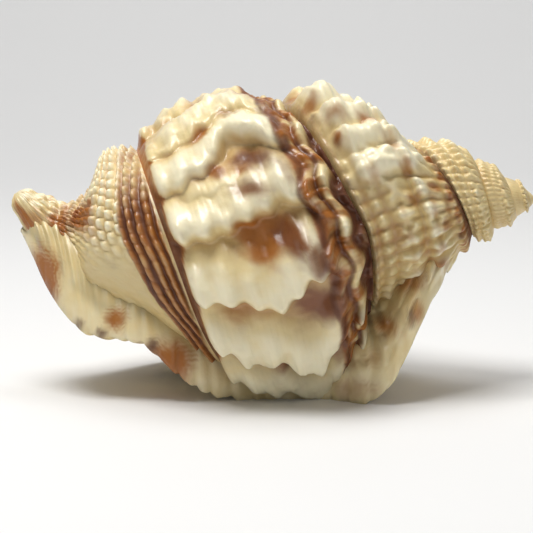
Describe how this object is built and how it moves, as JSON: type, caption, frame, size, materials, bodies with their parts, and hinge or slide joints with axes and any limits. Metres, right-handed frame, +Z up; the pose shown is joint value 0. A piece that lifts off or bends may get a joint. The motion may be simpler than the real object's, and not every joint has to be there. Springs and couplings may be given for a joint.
{
  "type": "distorsio shell",
  "caption": "Knobbly whorled sea-snail shell lying on its aperture, with a blunt spire, ribbed and beaded whorls, a flaring shield and an upturned siphonal canal.",
  "frame": {"origin": "centre of the bounding box in plan, at the bottom, on the surface that the shell lies on", "axes": "+X along the coil toward the spire's apex, -X toward the tip of the siphonal canal, +Z up; the aperture faces -Z and the outer lip is on the +Y side"},
  "size_m": [0.0654, 0.0408, 0.0386],
  "materials": {
    "shell": "glossy"
  },
  "bodies": {
    "root": {"shell": "shell"}
  },
  "joints": []
}
